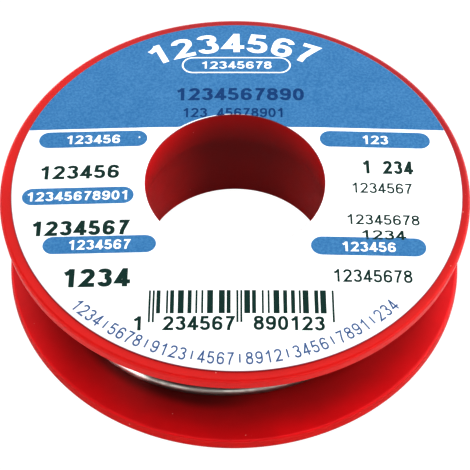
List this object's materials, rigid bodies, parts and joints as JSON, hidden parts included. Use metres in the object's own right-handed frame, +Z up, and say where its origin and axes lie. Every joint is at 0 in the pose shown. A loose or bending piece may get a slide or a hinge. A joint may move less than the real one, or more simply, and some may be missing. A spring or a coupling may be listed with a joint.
{
  "type": "solder wire spool",
  "caption": "Two-part moulded plastic reel with round-edged flanges, an open hub and a ring label, wound with soft solder wire between the flanges.",
  "frame": {"origin": "centre of the foot, on the surface that the spool stands on", "axes": "+Z up along the hub's axis, -Y towards the front of the label, +X to its right"},
  "size_m": [0.063, 0.063, 0.017],
  "materials": {
    "red_plastic": "satin",
    "label_paper": "matte",
    "solder_wire": "satin"
  },
  "bodies": {
    "root": {"lower_half": "red_plastic", "upper_half": "red_plastic", "label": "label_paper", "solder_inner_layers": "solder_wire", "solder_outer_layer": "solder_wire"}
  },
  "joints": []
}
